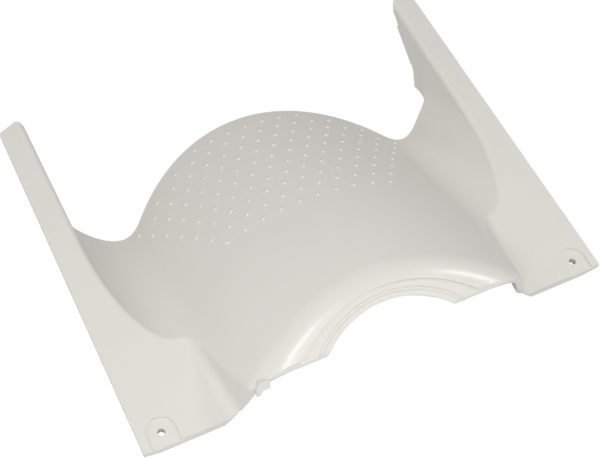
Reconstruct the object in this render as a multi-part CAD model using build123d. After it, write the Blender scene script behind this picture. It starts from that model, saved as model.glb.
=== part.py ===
"""Injection moulded housing: an arched hump between two flat wings, moulded as one thin shell.

The shell is drawn in the mould's frame: X across, Y from the front edge to the back, Z along the draw.
The right half is modelled and mirrored, and the one hook is added on the left. At the end the shell is
turned to the attitude in which it lies on its front lip and on its two trough ends.
"""
from build123d import *
from math import asin, atan2, cos, degrees, radians, sin, sqrt, tan
import os

# ---- Driving dimensions, in millimetres and degrees -----------------------------------------------
wall = 2.8                   # thickness of the skin

half_width = 145.5           # middle plane to the outer edge of a wing
wing_length = 203.5          # front edge to the outer corner of a wing tip
wing_rim = 17.0              # outer edge to the foot of the inner wall
tip_reach = 4.5              # how much further back the inner side of a tip stands
tip_slant = 11.0             # width over which the tip slants back
tip_radius = 4.5             # rounded inner corner of a tip
wing_slope = 26.0            # wings above the plane across the draw
wing_front_height = 3.0      # top of the wings at the front edge

hump_radius = 150.0          # arch of the hump, seen from the front
trough_radius = 26.0         # cove between the hump and a wing
wall_draft = 2.0             # the cove ends in a drafted inner wall
ridge_radius = 1350.0        # slight arch of the ridge, seen from the side
ridge_peak_y = 214.0         # where that arch would be level
ridge_peak_z = 70.4

front_lean = 25.0            # the front of the flanks overhangs by this much
band_y = -13.1               # upright front plane in which the rolled band ends
band_z = 32.2                # outer edge of the band in that plane
band_lean = 36.0             # the band leans back from the draw direction
roll_radius = 22.0           # roll from the band to the hump
crown_spans = 4              # spans of the curve that draws half the arch

flank_inset = 11.5           # bottom of a trough to the foot of the flank at the front corner
flank_splay = 11.0           # the flanks part towards the back
flank_draft = 9.0            # and lean in towards the top
foot_radius = 8.0            # flank to wing
crest_radius = 3.2           # every outer edge of the skin

band_end = 12.0              # foot of the flank to the end of the band's open edge
flank_edge_height = 26.0     # lower edge of the flank's front there
lip_start = 8.0              # foot of the flank to where the front lip begins
lip_height = -3.0            # lower edge of the front lip, along the wings
lip_end_height = -0.6        # the same at the outer corners
lip_end_length = 10.0        # over which it rises to them

opening_half_chord = 35.5    # half the opening's width, at its foot
opening_radius = 57.0
bead_radius = 61.0           # raised bead round the opening
bead_width = 2.4
bead_height = 0.9
recess_radius = 79.5         # stepped recess round the bead
recess_rise = 20.9           # its top above the foot of the band
recess_depth = 1.6

rear_radius = 129.0          # rear edge of the hump, in plan
rear_centre_y = 54.5
rear_arc_end = 18.5          # that arc ends this far inside the bottom of a trough
trough_end_inset = 5.5       # the trough's foremost point, inside its bottom
trough_end_y = 147.3
trough_bend_inset = 8.5      # the bend towards the inner wall, inside the wall's foot
trough_bend_y = 160.5
wall_end_y = 181.0           # where the trough's end meets the inner wall
wall_end_z = 63.5            # from there the inner wall's lower edge rises to the tip
wall_tip_z = 96.0

dot_pitch = 12.0             # across
dot_row_pitch = 10.1         # from row to row
dot_first_row_y = 81.2
dot_rows = (10, 11, 12, 13, 14, 15, 16, 13, 10, 7)
dot_diameter = 2.8
dot_height = 0.7
dot_taper = 34.0             # slope of a dot's rim
dot_root = 0.4               # a dot starts this far inside the skin
dot_sides = 12

screw_inset = 13.3           # outer edge of a wing to the screw hole
screw_y = 6.6                # front edge to the hole
screw_hole = 4.2
screw_seat_radius = 8.5      # U-shaped seat round the hole, open to the front
screw_seat_depth = 1.3
screw_boss = 11.0            # boss under the seat
screw_boss_length = 3.0

hook_offset = 2.0            # end of the band's open edge to the middle of the hook
hook_width = 6.0
hook_thickness = 2.6
hook_drop = 4.4              # below the band's lower edge
hook_taper = 0.4             # the hook's foot rises this much towards the prong
prong_width = 2.2
prong_drop = 2.9             # below the hook's foot, at the outer side
prong_root = 1.5             # height over which the prong runs into the hook

tab_offset = 4.5             # latch tab on each inner wall, from the lower end of the wall's rising edge
tab_length = 27.5
tab_reach = 10.0             # how far it stands out from that edge
tab_slant = 3.0              # its ends slant in by this much
tab_thickness = 2.0

# ---- Limits of the construction blocks, outside the part on every side ----------------------------
low, high = -60.0, 160.0
fore, aft = -60.0, 240.0
far_out = 200.0
sweep_start, sweep = -2.0, 14.0      # turn of the arch about the ridge's axis, in degrees

# ---- Derived values -------------------------------------------------------------------------------
wall_x = half_width - wing_rim                                   # foot of the drafted inner wall
trough_x = wall_x - trough_radius * cos(radians(wall_draft))     # bottom of a trough
tip_x = wall_x + (wall_tip_z - wall_end_z) * tan(radians(wall_draft))
flank_x = trough_x - flank_inset
band_end_x = flank_x - band_end
ridge_axis = Axis((0, ridge_peak_y, ridge_peak_z - ridge_radius), (1, 0, 0))
tangent_share = trough_x / (hump_radius + trough_radius)
cove_centre_drop = hump_radius - (hump_radius + trough_radius) * sqrt(1 - tangent_share ** 2)
band_inner_z = band_z - wall / sin(radians(band_lean))           # inner edge of the band


def wing_z(y, inset=0.0):
    """Height of the wing plane, or of the plane that lies inset below it."""
    slope = radians(wing_slope)
    return wing_front_height + y * tan(slope) - inset / cos(slope)


def front_y(z, inset=0.0):
    """Place of the flanks' leaning front, or of the plane that lies inset behind it."""
    lean = radians(front_lean)
    return inset / cos(lean) - z * tan(lean)


def flank_at(y, z, inset=0.0):
    """Half width of the hump's flank, or of the plane that lies inset within it."""
    splay = tan(radians(flank_splay))
    draft = tan(radians(flank_draft))
    return flank_x + splay * y - draft * z - inset * sqrt(1 + splay ** 2 + draft ** 2)


def arch_drop(x):
    """How far the hump and trough lie below the ridge, across the part."""
    x = abs(x)
    if x < hump_radius * tangent_share:
        return hump_radius - sqrt(hump_radius ** 2 - x ** 2)
    return cove_centre_drop + sqrt(trough_radius ** 2 - (x - trough_x) ** 2)


def skin_z(x, y):
    """Height of the outer skin on the hump and in the troughs."""
    reach = ridge_radius - arch_drop(x)
    return ridge_peak_z - ridge_radius + sqrt(reach ** 2 - (y - ridge_peak_y) ** 2)


def nearest_edge(solid, *point):
    """The edge of a solid that passes nearest to a point."""
    return min(solid.edges(), key=lambda edge: edge.distance_to(Vector(*point)))


def side_profile(points, start, end):
    """A block from start to end across the part, from its outline as (y, z) points."""
    outline = Plane.YZ.offset(start) * make_face(Polyline(*points, close=True))
    return extrude(outline, amount=end - start)


def behind_front(inset=0.0):
    """Everything behind the flanks' leaning front and the band's upright one."""
    top = -(band_y + inset) / tan(radians(front_lean))
    corners = [(front_y(low, inset), low), (aft, low), (aft, high), (front_y(top, inset), high)]
    return side_profile(corners + [(front_y(top, inset), top)], 0, far_out)


def band_plane():
    """Plane of the band, its origin at the foot of the band and its Z out of the front."""
    lean = radians(band_lean)
    return Plane(origin=(0, band_y, band_z), x_dir=(1, 0, 0), z_dir=(0, -cos(lean), sin(lean)))


def arch_block(inset):
    """Everything under the hump and the trough, with the band rolled into the hump."""
    hump = hump_radius - inset
    cove = trough_radius + inset
    hump_centre = ridge_peak_z - hump_radius
    cove_centre = ridge_peak_z - cove_centre_drop
    turn = asin(tangent_share)
    draft = radians(wall_draft)
    spans = [turn * part / crown_spans for part in range(crown_spans + 1)]
    crown = [(hump * sin(span), hump_centre + hump * cos(span)) for span in spans]
    joint = crown[-1]
    wall_foot = (trough_x + cove * cos(draft), cove_centre - cove * sin(draft))
    wall_top = (wall_foot[0] + (high - wall_foot[1]) * tan(draft), high)
    with BuildSketch(Plane.XZ.offset(-ridge_peak_y)) as profile:
        with BuildLine():
            Spline(*crown, tangents=((1, 0), (cos(turn), -sin(turn))))
            TangentArc(joint, wall_foot, tangent=(cos(turn), -sin(turn)))
            Polyline(wall_foot, wall_top, (far_out, high), (far_out, low), (0, low), crown[0])
        make_face()
    start = profile.sketch.rotate(ridge_axis, sweep_start)
    block = revolve(start, axis=ridge_axis, revolution_arc=sweep)
    behind_band = band_plane() * Pos(0, 0, -inset) * Rectangle(3 * far_out, 3 * far_out)
    block &= extrude(behind_band, amount=-3 * far_out)
    band_top = nearest_edge(block, trough_x / 2, 0, skin_z(trough_x / 2, 0) - inset)
    return fillet(band_top, roll_radius - inset)


def flank_block(inset):
    """The space between the middle plane and the hump's drafted flank."""
    sections = []
    for z in (low, high):
        corners = [(0, fore), (flank_at(fore, z, inset), fore), (flank_at(aft, z, inset), aft), (0, aft)]
        sections.append(Pos(0, 0, z) * make_face(Polyline(*corners, close=True)))
    return loft(sections, ruled=True)


def blank(inset=0.0):
    """The solid under the skin's outer side before the ring is set in, or the one inset within it."""
    reach = far_out if inset else half_width
    wing_corners = [(fore, low), (aft, low), (aft, wing_z(aft, inset)), (fore, wing_z(fore, inset))]
    solid = side_profile(wing_corners, 0, reach) + flank_block(inset)
    solid &= behind_front(inset)
    foot_y = trough_end_y / 5
    foot_z = wing_z(foot_y, inset)
    solid = fillet(nearest_edge(solid, flank_at(foot_y, foot_z, inset), foot_y, foot_z), foot_radius + inset)
    solid &= arch_block(inset)
    if crest_radius - inset > wall / 2:
        crease = nearest_edge(solid, tip_x + inset, wall_end_y, wing_z(wall_end_y, inset))
        solid = fillet(crease, crest_radius - inset)
    return solid


def form(inset=0.0):
    """The solid under the skin's outer side, or under the surface that lies inset within it."""
    return blank(inset) - ring_recess(inset)


def ring_centre():
    """The opening's centre in the band's plane, below the band's foot."""
    return -sqrt(opening_radius ** 2 - opening_half_chord ** 2)


def ring_recess(inset):
    """Space of the stepped recess in front of its floor."""
    disc = Pos(0, recess_rise - recess_radius, -recess_depth - inset) * Circle(recess_radius + inset)
    return extrude(band_plane() * disc, amount=high)


def ring_bead():
    """Low rounded bead round the opening, on the floor of the recess."""
    with BuildPart() as bead:
        with BuildSketch(Plane.XZ):
            with BuildLine():
                start = (bead_radius - bead_width / 2, -recess_depth)
                end = (bead_radius + bead_width / 2, -recess_depth)
                ThreePointArc(start, (bead_radius, bead_height - recess_depth), end)
                Polyline(end, (end[0], -recess_depth - wall / 2), (start[0], -recess_depth - wall / 2), start)
            make_face()
        revolve(axis=Axis.Z)
    return band_plane() * Pos(0, ring_centre(), 0) * bead.part


def opening_cutter():
    """Round cutter for the opening, along the band's axis."""
    disc = Pos(0, ring_centre(), -high / 4) * Circle(opening_radius)
    return extrude(band_plane() * disc, amount=high / 2)


def plan_outline():
    """Outline of the right half along the draw, from the wing's front to its tip."""
    arc_x = trough_x - rear_arc_end
    arc_y = rear_centre_y + sqrt(rear_radius ** 2 - arc_x ** 2)
    tip_inner = (half_width - tip_slant, wing_length + tip_reach)
    round_start = (tip_x + tip_radius, tip_inner[1])
    round_end = (tip_x, tip_inner[1] - tip_radius)
    rear = (0, rear_centre_y + rear_radius)
    with BuildSketch() as outline:
        with BuildLine():
            Polyline(rear, (0, fore), (half_width, fore), (half_width, wing_length), tip_inner, round_start)
            RadiusArc(round_start, round_end, -tip_radius)
            Line(round_end, (wall_x, wall_end_y))
            hump_end = RadiusArc(rear, (arc_x, arc_y), rear_radius)
            Spline(
                (arc_x, arc_y),
                (trough_x - trough_end_inset, trough_end_y),
                (wall_x - trough_bend_inset, trough_bend_y),
                (wall_x, wall_end_y),
                tangents=(hump_end % 1, (0, 1)),
            )
        make_face()
    return extrude(Pos(0, 0, low) * outline.sketch, amount=high - low)


def front_trim():
    """What is cut off the front: the band stays open below, the flank and the wing keep a lip."""
    corner = (band_end_x, flank_edge_height)
    lip_x = flank_x + lip_start
    bend = ((band_end_x + lip_x) / 2 - 1, flank_edge_height / 3)
    lip = (lip_x, lip_height)
    lip_end = (half_width, lip_end_height)
    with BuildSketch(Plane.XZ) as below:
        with BuildLine():
            Polyline((0, low), (0, high), (band_end_x, high), corner)
            ThreePointArc(corner, bend, lip)
            Polyline(lip, (half_width - lip_end_length, lip_height), lip_end, (far_out, 0), (far_out, low))
            Line((far_out, low), (0, low))
        make_face()
    slab = behind_front(-wall) - behind_front(wall)
    return extrude(below.sketch, amount=far_out, both=True) & slab & arch_block(wall)


def wall_trim():
    """What is cut off the inner wall, behind the trough and below its rising lower edge."""
    lower_edge = [(wall_end_y, low), (wall_end_y, wall_end_z), (wing_length, wall_tip_z)]
    behind = [(aft, wall_tip_z), (aft, low)]
    return side_profile(lower_edge + behind, trough_x, wall_x + 2 * wall)


def latch_tab():
    """Flat tab that stands out from the rising lower edge of the inner wall."""
    rise = Vector(0, wing_length - wall_end_y, wall_tip_z - wall_end_z)
    edge = Plane(origin=(tip_x, wall_end_y, wall_end_z), x_dir=rise, z_dir=(-1, 0, 0))
    tab_end = tab_offset + tab_length
    corners = [
        (tab_offset, wall),
        (tab_offset + tab_slant, -tab_reach),
        (tab_end - tab_slant, -tab_reach),
        (tab_end, wall),
    ]
    return extrude(edge * make_face(Polyline(*corners, close=True)), amount=-tab_thickness)


def seat_plane():
    """Plane on the wing's top at its screw hole."""
    slope = radians(wing_slope)
    centre = (half_width - screw_inset, screw_y, wing_z(screw_y))
    return Plane(origin=centre, x_dir=(1, 0, 0), z_dir=(0, -sin(slope), cos(slope)))


def screw_seat():
    """Shallow U-shaped seat, open to the front edge."""
    reach = 3 * screw_seat_radius
    slot = Circle(screw_seat_radius) + Pos(0, -reach / 2) * Rectangle(2 * screw_seat_radius, reach)
    return extrude(seat_plane() * Pos(0, 0, -screw_seat_depth) * slot, amount=high)


def screw_boss_under():
    """Boss that carries the screw under the seat."""
    length = wall - screw_seat_depth + screw_boss_length
    return extrude(seat_plane() * Pos(0, 0, -screw_seat_depth) * Circle(screw_boss / 2), amount=-length)


def screw_bore():
    """Clearance hole through seat and boss."""
    return extrude(seat_plane() * Circle(screw_hole / 2), amount=wall + screw_boss_length, both=True)


def hook():
    """Small snap hook under the band's left end, with a prong at its outer side."""
    middle = hook_offset - band_end_x
    inner = middle + hook_width / 2
    outer = middle - hook_width / 2
    root = band_inner_z + wall / 2
    foot = band_inner_z - hook_drop
    outline = [
        (inner, root),
        (inner, foot),
        (outer + prong_width / 2, foot - hook_taper),
        (outer, foot - prong_drop),
        (outer - prong_width, foot - prong_drop),
        (outer - prong_width, foot + prong_root),
        (outer, root),
    ]
    face = Plane.XZ * make_face(Polyline(*outline, close=True))
    return Pos(0, band_y, 0) * extrude(face, amount=-hook_thickness)


def skin_plane(x, y):
    """Plane on the hump's skin, its Z square to the skin."""
    spot = Vector(x, y, skin_z(x, y))
    axis_spot = Vector(0, ridge_peak_y, ridge_peak_z - ridge_radius)
    spoke = Vector(0, spot.Y - axis_spot.Y, spot.Z - axis_spot.Z).normalized()
    centre = axis_spot + spoke * (ridge_radius - hump_radius)
    return Plane(origin=spot, z_dir=spot - centre)


def dots():
    """Staggered rows of low round dots over the rear of the hump, each with a tapered rim."""
    root_radius = dot_diameter / 2 + dot_root * tan(radians(dot_taper))
    base = Pos(0, 0, -dot_root) * RegularPolygon(root_radius, dot_sides)
    dot = extrude(base, amount=dot_height + dot_root, taper=dot_taper)
    field = []
    for row, count in enumerate(dot_rows):
        y = dot_first_row_y + row * dot_row_pitch
        for place in range(count):
            field.append(skin_plane((place - (count - 1) / 2) * dot_pitch, y) * dot)
    return field


def right_half():
    """The right half of the moulding, in the mould's frame."""
    half = form() - form(wall)
    half = half - front_trim()
    half += ring_bead() & behind_front()
    half -= opening_cutter()
    half &= plan_outline()
    half -= wall_trim()
    half += latch_tab()
    half -= screw_seat()
    half += screw_boss_under()
    half -= screw_bore()
    return half


def housing_shell():
    """The whole moulding, in the mould's frame."""
    half = right_half()
    shell = half + mirror(half, about=Plane.YZ) + hook()
    return shell.fuse(*dots())


def at_rest(part):
    """Turn the part until its front lip and its trough ends are level, and set it on the ground."""
    trough_foot = skin_z(trough_x, trough_end_y) - wall
    rise = trough_foot - lip_height
    run = trough_end_y - front_y(lip_height)
    turned = part.rotate(Axis.X, -degrees(atan2(rise, run)))
    box = turned.bounding_box()
    return Pos(-(box.min.X + box.max.X) / 2, -(box.min.Y + box.max.Y) / 2, -box.min.Z) * turned


os.makedirs("parts", exist_ok=True)
export_step(at_rest(housing_shell()), "parts/housing_shell.step")
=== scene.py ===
"""Moulded plastic housing on a plain white ground, seen from the front left and above.

Metres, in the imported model's frame: +X across the wings, +Y from the front edge to the wing tips, +Z up.
"""
import math

import bpy
from mathutils import Matrix, Vector


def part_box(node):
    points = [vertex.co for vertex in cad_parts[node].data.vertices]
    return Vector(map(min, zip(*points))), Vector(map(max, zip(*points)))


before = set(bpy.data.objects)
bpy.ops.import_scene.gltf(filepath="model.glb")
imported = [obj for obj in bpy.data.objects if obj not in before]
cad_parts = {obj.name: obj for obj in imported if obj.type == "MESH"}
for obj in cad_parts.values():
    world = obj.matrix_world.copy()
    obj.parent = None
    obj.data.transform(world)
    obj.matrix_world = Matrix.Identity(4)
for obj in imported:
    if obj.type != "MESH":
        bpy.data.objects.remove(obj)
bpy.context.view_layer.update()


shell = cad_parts["housing_shell"]
low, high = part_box("housing_shell")

# Finish of the moulding, a warm off-white; colours are linear
PLASTIC = (0.745, 0.725, 0.69, 1.0)
TINT_SPREAD = 0.02                # colour drift from place to place, as a share
ROUGHNESS = 0.42
ROUGHNESS_SPREAD = 0.06
GRAIN_SIZE = 0.0006               # the mould's fine texture, metres
GRAIN_DEPTH = 0.00002
DRIFT_SIZE = 0.05                 # size of the slow changes in tint and gloss
REFRACTION = 1.49
SPECULAR = 0.5

# The polished band in front of the hump: everything less than BAND_DEPTH behind its plane,
# apart from the matt ring recess round the opening
BAND_FOOT = Vector((0, -0.1145, 0.0384))
BAND_LEAN = math.radians(49.85)   # its plane leans back from upright
BAND_OUTWARD = Vector((0, -math.cos(BAND_LEAN), math.sin(BAND_LEAN)))
BAND_UP = Vector((0, math.sin(BAND_LEAN), math.cos(BAND_LEAN)))
BAND_DEPTH = 0.0065
BAND_BLUR = 0.0015                # width over which the polish gives way to the grain
BAND_ROUGHNESS = 0.24
RING_RADIUS = 0.0795
RING_DROP = 0.0586                # the recess's centre below the band's foot, along the band
RING_CENTRE = BAND_FOOT - RING_DROP * BAND_UP

# Ground and surroundings
GROUND_SPANS = 12                 # width of the ground, in widths of the part
GROUND_COLOUR = (0.8, 0.8, 0.8, 1.0)
GROUND_ROUGHNESS = 0.9
WHITE = (1.0, 1.0, 1.0, 1.0)
WORLD_STRENGTH = 0.365
WORLD_COLOUR = (1.0, 0.985, 0.96, 1.0)

# Soft boxes: watts, size, azimuth and elevation in degrees, distance from the part's middle.
# The rolled band reflects the two small ones.
LAMPS = {
    "key": (3.3, 0.6, -20, 40, 0.9),
    "fill": (1.6, 0.8, -95, 35, 1.0),
    "rim": (0.3, 0.6, 150, 50, 1.0),
    "band_left": (1.25, 0.2, -7, 65, 1.0),
    "band_right": (1.25, 0.2, 66, 44, 1.0),
}

# The photograph's view, found from the mirrored dots and edges
CAMERA_PLACE = (-0.2279, -0.4732, 0.5606)
CAMERA_RIGHT = Vector((0.8930, -0.4498, -0.0144))
CAMERA_FORWARD = Vector((0.2994, 0.6178, -0.7271))
CAMERA_LENS = 74.52               # millimetres
CAMERA_SENSOR = 36


def node_tree(name):
    """A new material, its node tree and its Principled shader."""
    material = bpy.data.materials.new(name)
    material.use_nodes = True
    return material, material.node_tree, material.node_tree.nodes["Principled BSDF"]


def add(tree, kind, **values):
    """A new node; keyword values go to its inputs of the same name, with _ for a space."""
    node = tree.nodes.new(kind)
    for key, value in values.items():
        node.inputs[key.replace("_", " ")].default_value = value
    return node


def spread(tree, source, centre, half_range):
    """Maps a 0 to 1 noise to centre - half_range to centre + half_range."""
    node = add(tree, "ShaderNodeMapRange", To_Min=centre - half_range, To_Max=centre + half_range)
    tree.links.new(source, node.inputs["Value"])
    return node.outputs["Result"]


def vector_step(tree, operation, source, other=None):
    """One vector operation on a socket, with a fixed vector where it needs one."""
    node = tree.nodes.new("ShaderNodeVectorMath")
    node.operation = operation
    tree.links.new(source, node.inputs[0])
    if other is not None:
        node.inputs[1].default_value = other
    return node


def below(tree, source, edge):
    """1 where a value is below an edge and 0 above it, blurred over BAND_BLUR."""
    mask = add(tree, "ShaderNodeMapRange", From_Min=edge + BAND_BLUR, From_Max=edge - BAND_BLUR)
    tree.links.new(source, mask.inputs["Value"])
    return mask.outputs["Result"]


def grained(tree, place):
    """0 on the polished band, and 1 on the grained skin and in the ring recess."""
    along = vector_step(tree, "DOT_PRODUCT", place, BAND_OUTWARD)
    skin = below(tree, along.outputs["Value"], BAND_OUTWARD.dot(BAND_FOOT) - BAND_DEPTH)
    spoke = vector_step(tree, "SUBTRACT", place, RING_CENTRE)
    across = vector_step(tree, "CROSS_PRODUCT", spoke.outputs["Vector"], BAND_OUTWARD)
    radius = vector_step(tree, "LENGTH", across.outputs["Vector"])
    either = tree.nodes.new("ShaderNodeMath")
    either.operation = "MAXIMUM"
    tree.links.new(skin, either.inputs[0])
    tree.links.new(below(tree, radius.outputs["Value"], RING_RADIUS), either.inputs[1])
    return either.outputs["Value"]


def moulded_plastic():
    """Satin plastic with a fine grain and a slow drift in tint and gloss."""
    material, tree, shader = node_tree("moulded_plastic")
    place = tree.nodes.new("ShaderNodeTexCoord").outputs["Object"]
    drift = add(tree, "ShaderNodeTexNoise", Scale=1 / DRIFT_SIZE, Detail=3.0)
    grain = add(tree, "ShaderNodeTexNoise", Scale=1 / GRAIN_SIZE, Detail=2.0)
    for noise in (drift, grain):
        tree.links.new(place, noise.inputs["Vector"])
    tint = add(tree, "ShaderNodeHueSaturation", Color=PLASTIC)
    tree.links.new(spread(tree, drift.outputs["Fac"], 1.0, TINT_SPREAD), tint.inputs["Value"])
    tree.links.new(tint.outputs["Color"], shader.inputs["Base Color"])
    textured = grained(tree, place)
    gloss = spread(tree, drift.outputs["Fac"], ROUGHNESS, ROUGHNESS_SPREAD)
    roughness = tree.nodes.new("ShaderNodeMix")
    roughness.inputs["A"].default_value = BAND_ROUGHNESS
    tree.links.new(textured, roughness.inputs["Factor"])
    tree.links.new(gloss, roughness.inputs["B"])
    tree.links.new(roughness.outputs["Result"], shader.inputs["Roughness"])
    bump = add(tree, "ShaderNodeBump", Distance=GRAIN_DEPTH)
    tree.links.new(textured, bump.inputs["Strength"])
    tree.links.new(grain.outputs["Fac"], bump.inputs["Height"])
    tree.links.new(bump.outputs["Normal"], shader.inputs["Normal"])
    shader.inputs["IOR"].default_value = REFRACTION
    shader.inputs["Specular IOR Level"].default_value = SPECULAR
    return material


def camera_sees(tree, plain, seen, output):
    """Shows one shader to the camera and the plain one to every other ray."""
    ray = tree.nodes.new("ShaderNodeLightPath")
    mix = tree.nodes.new("ShaderNodeMixShader")
    tree.links.new(ray.outputs["Is Camera Ray"], mix.inputs["Fac"])
    tree.links.new(plain, mix.inputs[1])
    tree.links.new(seen, mix.inputs[2])
    tree.links.new(mix.outputs["Shader"], tree.nodes[output].inputs["Surface"])


def white_ground():
    """White to the camera, and a pale matt floor to the light."""
    material, tree, shader = node_tree("white_ground")
    shader.inputs["Base Color"].default_value = GROUND_COLOUR
    shader.inputs["Roughness"].default_value = GROUND_ROUGHNESS
    glow = add(tree, "ShaderNodeEmission", Color=WHITE, Strength=1.0)
    camera_sees(tree, shader.outputs["BSDF"], glow.outputs["Emission"], "Material Output")
    return material


def white_world():
    """White to the camera, and a dimmer, slightly warm light on the part."""
    world = bpy.data.worlds.new("studio")
    bpy.context.scene.world = world
    world.use_nodes = True
    tree = world.node_tree
    light = tree.nodes["Background"]
    light.inputs["Color"].default_value = WORLD_COLOUR
    light.inputs["Strength"].default_value = WORLD_STRENGTH
    backdrop = add(tree, "ShaderNodeBackground", Color=WHITE, Strength=1.0)
    camera_sees(tree, light.outputs["Background"], backdrop.outputs["Background"], "World Output")


def floor():
    """A plain ground that the part lies on."""
    bpy.ops.mesh.primitive_plane_add(size=GROUND_SPANS * (high.x - low.x), location=(0, 0, low.z))
    ground = bpy.context.object
    ground.name = "ground"
    ground.data.materials.append(white_ground())


def lamp(name, power, size, azimuth, elevation, distance):
    """A square soft box aimed at the part's middle; azimuth 0 is in front, 90 to the right."""
    a, e = math.radians(azimuth), math.radians(elevation)
    away = Vector((math.sin(a) * math.cos(e), -math.cos(a) * math.cos(e), math.sin(e)))
    light = bpy.data.lights.new(name, "AREA")
    light.energy = power
    light.size = size
    holder = bpy.data.objects.new(name, light)
    holder.location = (low + high) / 2 + away * distance
    holder.rotation_euler = away.to_track_quat("Z", "Y").to_euler()
    bpy.context.scene.collection.objects.link(holder)


def camera():
    """The scene's camera, from its place and two of its axes."""
    data = bpy.data.cameras.new("camera")
    data.lens = CAMERA_LENS
    data.sensor_width = CAMERA_SENSOR
    holder = bpy.data.objects.new("camera", data)
    right = CAMERA_RIGHT.normalized()
    back = -CAMERA_FORWARD.normalized()
    up = back.cross(right).normalized()
    turn = Matrix((right, up, back)).transposed().to_4x4()
    holder.matrix_world = Matrix.Translation(CAMERA_PLACE) @ turn
    bpy.context.scene.collection.objects.link(holder)
    bpy.context.scene.camera = holder


plastic = moulded_plastic()
for slot in shell.material_slots:
    slot.material = plastic
floor()
white_world()
for name, setting in LAMPS.items():
    lamp(name, *setting)
camera()
bpy.context.scene.view_settings.view_transform = "Standard"
